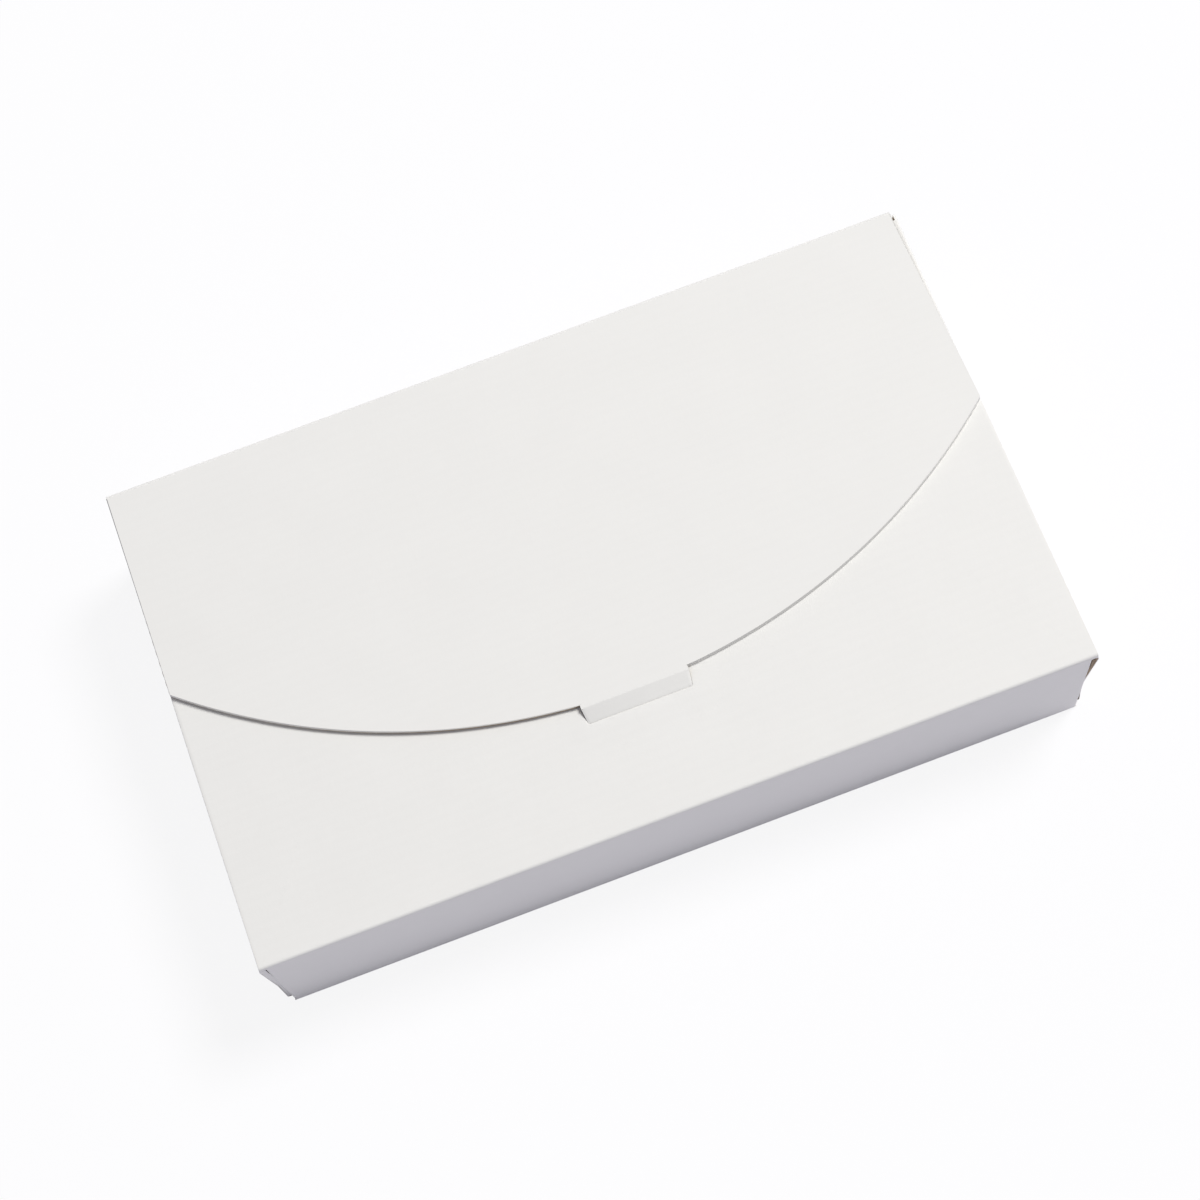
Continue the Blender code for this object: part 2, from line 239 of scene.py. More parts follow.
def box_corners(left, right, bottom, top, radius):
    return [(left, bottom, radius), (right, bottom, radius), (right, top, radius), (left, top, radius)]


def on_crease(start, end, creases):
    return any(
        abs(start[axis] - value) < SAME_PLACE and abs(end[axis] - value) < SAME_PLACE
        for axis, value in creases)


def moved_corners(corners, creases, distance, sign):
    """The corners with every cut edge moved inward (sign 1) or out of a hole (sign -1); creases stay."""
    lines = []
    count = len(corners)
    for index in range(count):
        start = Vector(corners[index][:2])
        end = Vector(corners[(index + 1) % count][:2])
        along = (end - start).normalized()
        shift = 0 if on_crease(start, end, creases) else distance * sign
        lines.append((start + Vector((-along.y, along.x)) * shift, along))
    moved = []
    for index in range(count):
        place_in, along_in = lines[index - 1]
        place_out, along_out = lines[index]
        cross = along_in.x * along_out.y - along_in.y * along_out.x
        if abs(cross) < PARALLEL:
            point = place_out
        else:
            gap = place_out - place_in
            run = (gap.x * along_out.y - gap.y * along_out.x) / cross
            point = place_in + along_in * run
        radius = corners[index][2]
        if radius:
            convex = cross > 0
            radius = max(radius - distance * sign if convex else radius + distance * sign, SAME_PLACE)
        moved.append((point.x, point.y, radius))
    return moved


def counter_clockwise(corners):
    area = sum(
        a[0] * b[1] - b[0] * a[1] for a, b in zip(corners, corners[1:] + corners[:1]))
    return corners if area > 0 else list(reversed(corners))


def thicken(body, straight_down):
    """Gives an open sheet the thickness of the liner, under its printed side; material 1 is its back."""
    body.normal_update()
    rim = [edge for edge in body.edges if len(edge.link_faces) == 1]
    faces = list(body.faces)
    under = {}
    for vert in list(body.verts):
        way = Vector((0, 0, 1)) if straight_down else vert.normal
        under[vert] = body.verts.new(vert.co - way * LINER)
    for item in faces:
        copy = body.faces.new([under[vert] for vert in reversed(item.verts)])
        copy.smooth = item.smooth
        copy.material_index = 1
    for edge in rim:
        loop = edge.link_loops[0]
        start, end = loop.vert, loop.link_loop_next.vert
        body.faces.new((end, start, under[start], under[end]))


def liner_sheet(corners, holes, creases, level, depth, lift=None):
    """The paper on one face, at the level, pressed down along its cut edges by the depth at each place."""
    body = bmesh.new()
    inner_edges = []
    for hole, loop in [(False, corners)] + [(True, item) for item in holes]:
        loop = counter_clockwise(loop)
        width = HOLE_PRESS_WIDTH if hole else PRESS_WIDTH
        reaches = [width * step / PRESS_STEPS for step in range(PRESS_STEPS + 1)]
        if hole and lift:
            reaches += [SLOT_LIP_REACH * (step + 1) / SLOT_LIP_RINGS for step in range(SLOT_LIP_RINGS)]
        elif not hole:
            reaches.insert(1, TIGHT_PRESS_WIDTH / 2)
            reaches.insert(2, TIGHT_PRESS_WIDTH)
        rings = []
        for inward in reaches:
            ring = rounded_outline(moved_corners(loop, creases, inward, -1 if hole else 1))
            verts = []
            for x, y in ring:
                flat = any(abs((x, y)[axis] - value) < SAME_PLACE for axis, value in creases)
                edge_drop, reach = (HOLE_PRESS_DEPTH, HOLE_PRESS_WIDTH) if hole else depth(x, y)
                drop = 0 if flat else edge_drop * max(0, 1 - inward / reach) ** 2
                verts.append(body.verts.new((x, y, level - drop + (lift(x, y) if lift else 0))))
            rings.append(verts)
        for outer, inner in zip(rings, rings[1:]):
            for index in range(len(outer)):
                after = (index + 1) % len(outer)
                quad = (outer[index], outer[after], inner[after], inner[index])
                body.faces.new(tuple(reversed(quad)) if hole else quad)
        last = rings[-1]
        for index in range(len(last)):
            edge = body.edges.get((last[index], last[(index + 1) % len(last)]))
            inner_edges.append(edge)
    bmesh.ops.triangle_fill(body, use_beauty=True, use_dissolve=False, edges=inner_edges, normal=(0, 0, 1))
    bmesh.ops.remove_doubles(body, verts=body.verts, dist=EDGE_NUDGE)
    bmesh.ops.recalc_face_normals(body, faces=body.faces)
    top = max(body.faces, key=lambda face: face.calc_area())
    if top.normal.z < 0:
        bmesh.ops.reverse_faces(body, faces=body.faces)
    body.normal_update()
    for item in body.faces:
        item.smooth = item.normal.z < LEVEL_NORMAL
    thicken(body, True)
    return body


def spans(loops, level, axis):
    """Where the line at this level along the axis crosses the loops, as pairs along the other axis."""
    hits = []
    for loop in loops:
        for start, end in zip(loop, loop[1:] + loop[:1]):
            if (start[axis] <= level) != (end[axis] <= level):
                share = (level - start[axis]) / (end[axis] - start[axis])
                hits.append(start[1 - axis] + share * (end[1 - axis] - start[1 - axis]))
    hits.sort()
    return list(zip(hits[::2], hits[1::2]))


def edge_distance(loops, x, y, nearest=PRESS_WIDTH):
    """How far a place is from the closest side of the loops, or nearest if that is less."""
    for loop in loops:
        for start, end in zip(loop, loop[1:] + loop[:1]):
            dx, dy = end[0] - start[0], end[1] - start[1]
            length = dx * dx + dy * dy
            if length == 0:
                continue
            share = max(0, min(1, ((x - start[0]) * dx + (y - start[1]) * dy) / length))
            nearest = min(nearest, math.hypot(x - start[0] - share * dx, y - start[1] - share * dy))
    return nearest


def flute_rows(loops, axis):
    """Levels along the wave where the middle paper has a row of points."""
    values = [point[axis] for loop in loops for point in loop]
    low, high = min(values), max(values)
    step = FLUTE_PITCH / FLUTE_STEPS
    levels = [low + EDGE_NUDGE, high - EDGE_NUDGE]
    first = math.ceil(low / step)
    while first * step < high:
        levels.append(first * step)
        first += 1
    for value in values:
        levels += [value - EDGE_NUDGE, value + EDGE_NUDGE]
    levels = sorted(item for item in levels if low < item < high)
    rows = [levels[0]]
    for item in levels[1:]:
        if item - rows[-1] > EDGE_NUDGE / 4:
            rows.append(item)
    return rows


def medium_sheet(loops, axis, face_press, back_press):
    """The fluted paper between the liners; the wave runs along the axis."""
    body = bmesh.new()

    def close_ends(row):
        """Faces over the start or end of the paper, at each span of the row."""
        for points in row or []:
            for here, there in zip(points, points[1:]):
                quad = (here[0], there[0], there[1], here[1])
                if body.faces.get(quad) is None:
                    body.faces.new(quad)

    previous = None
    for level in flute_rows(loops, axis):
        angle = math.tau * level / FLUTE_PITCH
        height = WAVE_HEIGHT * math.sin(angle)
        slope = math.tau * WAVE_HEIGHT / FLUTE_PITCH * math.cos(angle)
        half = MEDIUM / 2 * math.sqrt(1 + slope * slope)
        row = []
        for start, end in spans(loops, level, axis):
            reach = min(PRESS_WIDTH, (end - start) / 3)
            places = [start, start + reach / 2, start + reach, end - reach, end - reach / 2, end]
            points = []
            for place in places:
                x, y = (level, place) if axis == 0 else (place, level)
                from_edge = edge_distance(loops, x, y)
                drop, drop_reach = face_press(x, y)
                rise, rise_reach = back_press(x, y)
                ceiling = HALF_BOARD - LINER - drop * max(0, 1 - from_edge / drop_reach) ** 2 - half
                bottom = LINER + rise * max(0, 1 - from_edge / rise_reach) ** 2 + half - HALF_BOARD
                middle = (ceiling + bottom) / 2 if ceiling < bottom else max(bottom, min(height, ceiling))
                points.append((
                    body.verts.new((x, y, middle + half)), body.verts.new((x, y, middle - half))))
            row.append(points)
        if previous is None or len(previous) != len(row):
            close_ends(previous)
            close_ends(row)
        else:
            for before, now in zip(previous, row):
                for index in range(len(now) - 1):
                    for side in (0, 1):
                        body.faces.new((
                            before[index][side], before[index + 1][side],
                            now[index + 1][side], now[index][side]))
                for index in (0, len(now) - 1):
                    body.faces.new((before[index][0], before[index][1], now[index][1], now[index][0]))
        previous = row
    close_ends(previous)
    bmesh.ops.recalc_face_normals(body, faces=body.faces)
    for item in body.faces:
        item.smooth = True
    return body


def cut_band(corners, holes, creases, axis, face_press, back_press, body):
    """The torn wall that the knife leaves between the liners where it cuts along the flutes."""
    for hole, loop in [(False, corners)] + [(True, item) for item in holes]:
        sign = -1 if hole else 1
        loop = counter_clockwise(loop)
        outer = rounded_outline(moved_corners(loop, creases, CUT_INSET, sign))
        inner = rounded_outline(moved_corners(loop, creases, CUT_INSET + MEDIUM, sign))
        if len(outer) != len(inner):
            continue
        for index in range(len(outer)):
            after = (index + 1) % len(outer)
            start, end = outer[index], outer[after]
            length = math.hypot(end[0] - start[0], end[1] - start[1])
            if length == 0 or on_crease(start, end, creases):
                continue
            if abs(end[axis] - start[axis]) / length > CUT_ALONG:
                continue
            levels = []
            for x, y in (start, end):
                drop, rise = (HOLE_PRESS_DEPTH, 0) if hole else (face_press(x, y)[0], back_press(x, y)[0])
                top = HALF_BOARD - LINER - drop
                levels.append((top, min(top, LINER + rise - HALF_BOARD)))
            if any(top - bottom < SAME_PLACE for top, bottom in levels):
                continue
            verts = [
                body.verts.new((*place, level))
                for place, pair in ((start, levels[0]), (end, levels[1]), (inner[after], levels[1]),
                                    (inner[index], levels[0])) for level in pair]
            for quad in ((0, 1, 3, 2), (2, 3, 5, 4), (4, 5, 7, 6), (6, 7, 1, 0), (0, 2, 4, 6), (1, 7, 5, 3)):
                body.faces.new([verts[corner] for corner in quad])
    bmesh.ops.recalc_face_normals(body, faces=body.faces)


def add_piece(name, parts, matrix, materials, body_name, flute_axis=None, wear=None):
    """One object from meshes in the frame of the box, each with its material's index, or None for its own."""
    joined = bmesh.new()
    for part, index in parts:
        if index is not None:
            for face in part.faces:
                face.material_index = index
        mesh = bpy.data.meshes.new(name)
        part.to_mesh(mesh)
        part.free()
        joined.from_mesh(mesh)
        bpy.data.meshes.remove(mesh)
    mesh = bpy.data.meshes.new(name)
    joined.to_mesh(mesh)
    joined.free()
    if flute_axis is not None:
        layer = mesh.attributes.new("flute", "FLOAT", "POINT")
        layer.data.foreach_set("value", [vert.co[flute_axis] / FLUTE_PITCH for vert in mesh.vertices])
    if wear:
        layer = mesh.attributes.new("wear", "FLOAT", "POINT")
        layer.data.foreach_set("value", [wear(vert.co.x, vert.co.y) for vert in mesh.vertices])
    mesh.transform(matrix)
    for material in materials:
        mesh.materials.append(material)
    mesh.set_sharp_from_angle(angle=SHARP_ANGLE)
    piece = bpy.data.objects.new(name, mesh)
    bpy.context.scene.collection.objects.link(piece)
    if body_name:
        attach(piece, body_name)
    return piece


def usual_face_press(x, y):
    return PRESS_DEPTH, PRESS_WIDTH


def usual_back_press(x, y):
    return BACK_PRESS_DEPTH, PRESS_WIDTH


def panel(
        node, corners, holes, creases, flute_axis, location, rotation, body_name, printed,
        face_press=usual_face_press, back_press=usual_back_press, core_corners=None, core_holes=None,
        lift=None):
    """A flat panel of board in place of a node: the printed liner, and the core with the inner liner."""
    matrix = Matrix.Translation(location) @ Euler(rotation).to_matrix().to_4x4()
    cuts = []
    for loop in [corners, *holes]:
        outline = rounded_outline(counter_clockwise(loop))
        for start, end in zip(outline, outline[1:] + outline[:1]):
            if not on_crease(start, end, creases):
                cuts.append([start, end])

    def wear(x, y):
        return 1 - edge_distance(cuts, x, y) / PRESS_WIDTH

    face = liner_sheet(corners, holes, creases, HALF_BOARD, face_press, lift)
    cover = add_piece(
        node + "_face", [(face, 0)], matrix, [printed], body_name, flute_axis, wear)
    corners = core_corners or corners
    holes = core_holes or holes
    loops = [rounded_outline(counter_clockwise(loop)) for loop in [corners, *holes]]
    back = liner_sheet(corners, holes, creases, HALF_BOARD, back_press)
    bmesh.ops.transform(back, matrix=Matrix.Scale(-1, 4, (0, 0, 1)), verts=back.verts)
    bmesh.ops.reverse_faces(back, faces=back.faces)
    core = medium_sheet(loops, flute_axis, face_press, back_press)
    band = bmesh.new()
    cut_band(corners, holes, creases, flute_axis, face_press, back_press, band)
    add_piece(
        node + "_core", [(core, 1), (band, 1), (back, 0)], matrix, [kraft, middle_paper], body_name,
        flute_axis)
    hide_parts(node)


def crease_strip(name, profile, inside, along, low, high, body_name, printed):
    """Liner carried round a crease: a profile in the plane across it, drawn out between two places along it.

    The printed side of the paper is the one away from the place inside.
    """
    body = bmesh.new()
    rows = []
    for place in (low, high):
        row = []
        for a, b in profile:
            point = [a, b]
            point.insert(along, place)
            row.append(body.verts.new(point))
        rows.append(row)
    for index in range(len(profile) - 1):
        body.faces.new((rows[0][index], rows[0][index + 1], rows[1][index + 1], rows[1][index]))
    body.normal_update()
    body.faces.ensure_lookup_table()
    middle = body.faces[len(body.faces) // 2]
    if middle.normal.dot(middle.calc_center_median() - inside) < 0:
        bmesh.ops.reverse_faces(body, faces=body.faces)
    for item in body.faces:
        item.smooth = True
    thicken(body, False)
    return add_piece(name, [(body, None)], Matrix.Identity(4), [printed, kraft], body_name)


def inner_crease(name, start, end, axis_place, half_width):
    """Brown inner liner across a hinge, between places in Y and Z on the inner faces of its two panels."""
    profile = [
        tuple(a + (b - a) * step / CREASE_STEPS for a, b in zip(start, end))
        for step in range(CREASE_STEPS + 1)]
    strip = crease_strip(
        name, profile, Vector((0, *axis_place)), 0, -half_width, half_width, None, kraft)
    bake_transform(strip)


def crease_core(name, outline, low, high, body_name):
    """The crushed middle of a rolled crease: an outline in X and Z, drawn out along Y."""
    body = bmesh.new()
    rows = [[body.verts.new((x, y, z)) for x, z in outline] for y in (low, high)]
    for index in range(len(outline)):
        after = (index + 1) % len(outline)
        body.faces.new((rows[0][index], rows[0][after], rows[1][after], rows[1][index]))
    for row in rows:
        body.faces.new(row)
    bmesh.ops.recalc_face_normals(body, faces=body.faces)
    add_piece(name, [(body, 0)], Matrix.Identity(4), [kraft], body_name)


def paper(name, colour, roughness, speck, washboard, fleck):
    """A matt paper: mottled colour, long fibres, flecks, the washboard of the flutes and rubbed cut edges."""
    material = bpy.data.materials.new(name)
    material.use_nodes = True
    nodes = material.node_tree.nodes
    links = material.node_tree.links
    shader = nodes["Principled BSDF"]
    shader.inputs["Specular IOR Level"].default_value = PAPER_SPECULAR

    def noise(scale, detail, stretch=None):
        texture = nodes.new("ShaderNodeTexNoise")
        texture.inputs["Scale"].default_value = scale
        texture.inputs["Detail"].default_value = detail
        if stretch:
            mapping = nodes.new("ShaderNodeMapping")
            mapping.inputs["Scale"].default_value = stretch
            links.new(place.outputs["Object"], mapping.inputs["Vector"])
            links.new(mapping.outputs["Vector"], texture.inputs["Vector"])
        else:
            links.new(place.outputs["Object"], texture.inputs["Vector"])
        return texture.outputs["Fac"]

    def math_node(operation, *values):
        node = nodes.new("ShaderNodeMath")
        node.operation = operation
        for index, value in enumerate(values):
            if isinstance(value, (int, float)):
                node.inputs[index].default_value = value
            else:
                links.new(value, node.inputs[index])
        return node.outputs[0]

    def mix(amount, first, second):
        """Two colours mixed; 6 and 7 are the node's colour inputs, and 2 is its colour output."""
        node = nodes.new("ShaderNodeMix")
        node.data_type = "RGBA"
        links.new(amount, node.inputs["Factor"])
        links.new(first, node.inputs[6])
        node.inputs[7].default_value = (*second, 1)
        return node.outputs[2]

    place = nodes.new("ShaderNodeTexCoord")
    mottle = noise(MOTTLE_SCALE, detail=5)
    fibre = noise(FIBRE_SCALE, detail=3)
    strands = noise(STRAND_SCALE, detail=2, stretch=STRAND_STRETCH)
    crossed = noise(CROSSED_SCALE, detail=2, stretch=CROSSED_STRETCH)
    grain = math_node(
        "ADD", math_node("MULTIPLY", mottle, MOTTLE_SHARE), math_node("MULTIPLY", fibre, FIBRE_SHARE))
    lines = math_node("MULTIPLY", math_node("ADD", strands, crossed), STRAND_SHARE)
    ramp = nodes.new("ShaderNodeValToRGB")
    ramp.color_ramp.elements[0].position = GRAIN_LOW
    ramp.color_ramp.elements[0].color = [part * (1 - speck) for part in colour] + [1]
    ramp.color_ramp.elements[1].position = GRAIN_HIGH
    ramp.color_ramp.elements[1].color = [min(1, part * (1 + speck / 2)) for part in colour] + [1]
    links.new(math_node("ADD", grain, lines), ramp.inputs["Fac"])
    dots = nodes.new("ShaderNodeTexVoronoi")
    dots.inputs["Scale"].default_value = FLECK_SCALE
    links.new(place.outputs["Object"], dots.inputs["Vector"])
    sparse = math_node("GREATER_THAN", noise(FLECK_AREA_SCALE, detail=1), FLECK_AREA_LEVEL)
    spots = math_node("MULTIPLY", math_node("LESS_THAN", dots.outputs["Distance"], FLECK_SIZE), sparse)
    flecked = mix(
        math_node("MULTIPLY", spots, fleck), ramp.outputs["Color"], [part * FLECK_SHADE for part in colour])
    edge = nodes.new("ShaderNodeAttribute")
    edge.attribute_name = "wear"
    rubbed = math_node(
        "MULTIPLY", math_node("POWER", edge.outputs["Fac"], RUB_POWER),
        math_node("MULTIPLY", mottle, RUB_SHARE))
    links.new(mix(rubbed, flecked, RUB_COLOUR), shader.inputs["Base Color"])
    rough = math_node("ADD", math_node("MULTIPLY", grain, ROUGHNESS_SHARE), roughness - ROUGHNESS_DROP)
    links.new(rough, shader.inputs["Roughness"])
    flute = nodes.new("ShaderNodeAttribute")
    flute.attribute_name = "flute"
    wave = math_node("SINE", math_node("MULTIPLY", flute.outputs["Fac"], math.tau))
    boards = nodes.new("ShaderNodeBump")
    boards.inputs["Distance"].default_value = washboard
    links.new(wave, boards.inputs["Height"])
    bump = nodes.new("ShaderNodeBump")
    bump.inputs["Strength"].default_value = RELIEF_STRENGTH
    bump.inputs["Distance"].default_value = RELIEF_HEIGHT
    links.new(math_node("ADD", fibre, math_node("MULTIPLY", lines, STRAND_RELIEF)), bump.inputs["Height"])
    links.new(boards.outputs["Normal"], bump.inputs["Normal"])
    links.new(bump.outputs["Normal"], shader.inputs["Normal"])
    return material


kraft = paper(
    "kraft_paper", (0.42, 0.34, 0.25), roughness=0.85, speck=0.12, washboard=INNER_WASHBOARD, fleck=0.5)
middle_paper = paper(
    "fluted_paper", (0.50, 0.40, 0.28), roughness=0.90, speck=0.14, washboard=0, fleck=0.5)
white = paper(
    "white_paper", (0.83, 0.83, 0.81), roughness=0.68, speck=0.02, washboard=PRINTED_WASHBOARD, fleck=0)


def lid_edge(x):
    """How far in front of the lid's crease its curved edge is, x away from the middle."""
    half_chord = HALF_LENGTH - LID_FRONT_INSET
    radius = (half_chord ** 2 + LID_ARC_RISE ** 2) / (2 * LID_ARC_RISE)
    return LID_CENTRE_LENGTH - radius + math.sqrt(radius ** 2 - x ** 2)


HALF_ROOT = TAB_WIDTH / 2 + TAB_ROOT_RELIEF
TAB_ROOT = lid_edge(HALF_ROOT)
TAB_HINGE_Y = HALF_DEPTH - TAB_ROOT - FOLD_GAP - HALF_BOARD
TAB_HINGE_Z = BOX_HEIGHT - HALF_BOARD

# Bottom panel: its printed face is underneath
corners = box_corners(-INNER_END, INNER_END, -INNER_SIDE, INNER_SIDE, 0)
half_slot = HALF_BOARD + FOLD_GAP
half_width = LOCK_TAB_WIDTH / 2 + LOCK_SLOT_CLEARANCE
slots = [
    box_corners(
        side * INNER_WALL_PLACE - half_slot, side * INNER_WALL_PLACE + half_slot,
        middle - half_width, middle + half_width, LOCK_CORNER_RADIUS)
    for side in (-1, 1) for middle in (-LOCK_TAB_PLACE, LOCK_TAB_PLACE)]
panel(
    "bottom_panel", corners, slots,
    ((0, -INNER_END), (0, INNER_END), (1, -INNER_SIDE), (1, INNER_SIDE)), 1,
    (0, 0, HALF_BOARD), (math.pi, 0, 0), "tray", white)

# Front and back walls
for node, side, height in (("front_wall", -1, RIM_TOP), ("back_wall", 1, FLAP_TOP)):
    end = INNER_END - CREASE_RADIUS
    corners = box_corners(-end, end, CREASE_RADIUS, height, 0)
    panel(
        node, corners, [], ((0, -end), (0, end), (1, CREASE_RADIUS), (1, height)), 1,
        (0, side * (HALF_DEPTH - HALF_BOARD), 0), (math.pi / 2, 0, 0 if side < 0 else math.pi), "tray", white)


def right_wall_press(x, y):
    """The printed liner covers the lower part of the right wall's front end; above it the cut is open."""
    if x > 0:
        return PRESS_DEPTH, PRESS_WIDTH
    open_share = max(0, min(1, (y - SIDE_END_RISE) / WALL_END_FADE))
    return WALL_END_PRESS + (PRESS_DEPTH - WALL_END_PRESS) * open_share, PRESS_WIDTH


def left_wall_end():
    """White paper over the front end of the left wall and of the roll above it."""
    outer_x = PRESS_DEPTH - HALF_LENGTH
    outline = [
        (-INNER_SIDE, CREASE_RADIUS, outer_x), (-INNER_SIDE, SIDE_END_RISE, outer_x),
        (-HALF_DEPTH, ROLL_TOP, outer_x)]
    outline += [
        (-HALF_DEPTH, RIM_TOP - CREASE_RADIUS + (CREASE_RADIUS - LINER) * sine,
         CREASE_RADIUS - HALF_LENGTH - (CREASE_RADIUS - LINER) * cosine) for sine, cosine in QUARTER_TURN]
    cover = bmesh.new()
    rows = [
        [cover.verts.new((x, y + behind, z)) for x in (wide, -INNER_END) for behind in (0, LINER)]
        for y, z, wide in outline]
    for before, after in zip(rows, rows[1:]):
        for first, second in ((0, 1), (1, 3), (3, 2), (2, 0)):
            cover.faces.new((before[first], before[second], after[second], after[first]))
    for row in (rows[0], rows[-1]):
        cover.faces.new((row[0], row[1], row[3], row[2]))
    bmesh.ops.recalc_face_normals(cover, faces=cover.faces)
    add_piece("left_wall_end", [(cover, 0)], Matrix.Identity(4), [white], "tray")


# Rolled sides and dust flaps
for prefix, end in (("left", -1), ("right", 1)):
    turn = (math.pi / 2, 0, end * math.pi / 2)
    corners = [
        (-INNER_SIDE, CREASE_RADIUS, 0),
        (INNER_SIDE, CREASE_RADIUS, 0),
        (INNER_SIDE, SIDE_END_RISE, 0),
        (HALF_DEPTH, ROLL_TOP, 0),
        (-HALF_DEPTH, ROLL_TOP, 0),
        (-INNER_SIDE, SIDE_END_RISE, 0)]
    wall_creases = ((1, CREASE_RADIUS), (1, ROLL_TOP))
    panel(
        prefix + "_outer_wall", corners, [], wall_creases, 0,
        (end * (HALF_LENGTH - HALF_BOARD), 0, 0), turn, "tray", white,
        right_wall_press if end > 0 else usual_face_press,
        core_corners=moved_corners(corners, wall_creases, WALL_END_INSET, 1) if end < 0 else None)
    if end < 0:
        left_wall_end()
    half_roll = ROLL_WIDTH / 2 - CREASE_RADIUS
    corners = box_corners(-half_roll, half_roll, -INNER_SIDE, INNER_SIDE, 0)
    panel(
        prefix + "_rim", corners, [], ((0, -half_roll), (0, half_roll)), 1,
        (end * (HALF_LENGTH - ROLL_WIDTH / 2), 0, RIM_TOP - HALF_BOARD), (0, 0, 0), "tray", white)
    drop = ROLL_TOP - FLOOR_TOP
    tab_drop = ROLL_TOP - LOCK_TAB_RECESS
    root = LOCK_TAB_WIDTH / 2
    tip = root - LOCK_TAB_TAPER
    corners = [(-INNER_SIDE, 0, 0), (-INNER_SIDE, -drop, 0)]
    for middle in (-LOCK_TAB_PLACE, LOCK_TAB_PLACE):
        corners += [
            (middle - root, -drop, 0),
            (middle - tip, -tab_drop, LOCK_CORNER_RADIUS),
            (middle + tip, -tab_drop, LOCK_CORNER_RADIUS),
            (middle + root, -drop, 0)]
    corners += [(INNER_SIDE, -drop, 0), (INNER_SIDE, 0, 0)]
    panel(
        prefix + "_inner_wall", corners, [], ((1, 0),), 0,
        (end * INNER_WALL_PLACE, 0, ROLL_TOP), (math.pi / 2, 0, -end * math.pi / 2), "tray", white)
    for word, side in (("front_", -1), ("back_", 1)):
        reach = end * side * DUST_FLAP_LENGTH
        corners = [
            (0, 0, 0),
            (-reach, DUST_FLAP_TAPER, DUST_FLAP_CORNER_RADIUS),
            (-reach, drop - DUST_FLAP_TAPER, DUST_FLAP_CORNER_RADIUS),
            (0, drop, 0)]
        panel(
            word + prefix + "_dust_flap", corners, [], ((0, 0),), 1,
            (end * DUST_FLAP_PLACE, side * INNER_SIDE, FLOOR_TOP), turn, "tray", white)

# Lid: half its width at the back and at the ends of its curve, and where its side edges end in front
half_back = HALF_LENGTH - LID_BACK_INSET
half_front = HALF_LENGTH - LID_FRONT_INSET
lid_front_corner = -LID_SIDE_LENGTH + LID_CORNER_RADIUS


def lid_face_press(x, y):
    """Left of the tab the lid's edge gapes, right of it the printed liner is pressed down over the cut."""
    if abs(x) > half_back and y > lid_front_corner:
        return LID_SIDE_PRESS, PRESS_WIDTH
    if x > 0:
        return LID_RIGHT_FACE_PRESS, TIGHT_PRESS_WIDTH
    share = max(0, (-x - LID_LEFT_PRESS_FROM) / (half_front - LID_LEFT_PRESS_FROM))
    return LID_LEFT_FACE_PRESS + LID_LEFT_MORE_PRESS * share, TIGHT_PRESS_WIDTH


def lid_back_press(x, y):
    return LID_LEFT_BACK_PRESS if x < 0 else BACK_PRESS_DEPTH, PRESS_WIDTH


# Its outline has a small step at the tab's right root, where the pressed paper ends
right = []
for step in range(LID_ARC_STEPS + 1):
    x = HALF_ROOT + (half_front - HALF_ROOT) * step / LID_ARC_STEPS
    right.append((x, -lid_edge(x), LID_CORNER_RADIUS if step == LID_ARC_STEPS else 0))
left = [(-x, y, radius) for x, y, radius in reversed(right)]
right[0] = (TAB_WIDTH / 2, -TAB_ROOT + TAB_ROOT_STEP, 0)
right.insert(0, (TAB_WIDTH / 2, -TAB_ROOT, 0))
corners = [
    (-half_front, -CREASE_RADIUS, 0), *left, *right, (half_back, -CREASE_RADIUS, 0)]
lid_creases = ((1, -CREASE_RADIUS), (1, -TAB_ROOT))
core_corners = [
    corner if corner[0] < 0 else inset
    for corner, inset in zip(corners, moved_corners(corners, lid_creases, LID_CORE_INSET, 1))]
panel(
    "lid_flap", corners, [], lid_creases, 1, (0, HALF_DEPTH, BOX_HEIGHT - HALF_BOARD), (0, 0, 0), "lid",
    white, lid_face_press, lid_back_press, core_corners)


def tab_line():
    """Points down the tab's middle from its crease: the length run, and each forward, down and slope."""
    run_forward = TAB_SEEN_RUN * math.cos(TAB_SLOPE)
    run_down = TAB_SEEN_RUN * math.sin(TAB_SLOPE)
    bend = TAB_SEEN_BEND / (TAB_END_SLOPE - TAB_SLOPE)
    points = [(0, 0, 0, TAB_SLOPE)]
    for step in range(TAB_BEND_STEPS + 1):
        share = step / TAB_BEND_STEPS
        slope = TAB_SLOPE + (TAB_END_SLOPE - TAB_SLOPE) * share
        points.append((
            TAB_SEEN_RUN + TAB_SEEN_BEND * share,
            run_forward + bend * (math.sin(slope) - math.sin(TAB_SLOPE)),
            run_down + bend * (math.cos(TAB_SLOPE) - math.cos(slope)), slope))
    length, forward, down, slope = points[-1]
    rest = (TAB_DEPTH - down) / math.sin(slope)
    points.append((length + rest, forward + rest * math.cos(slope), down + rest * math.sin(slope), slope))
    return points


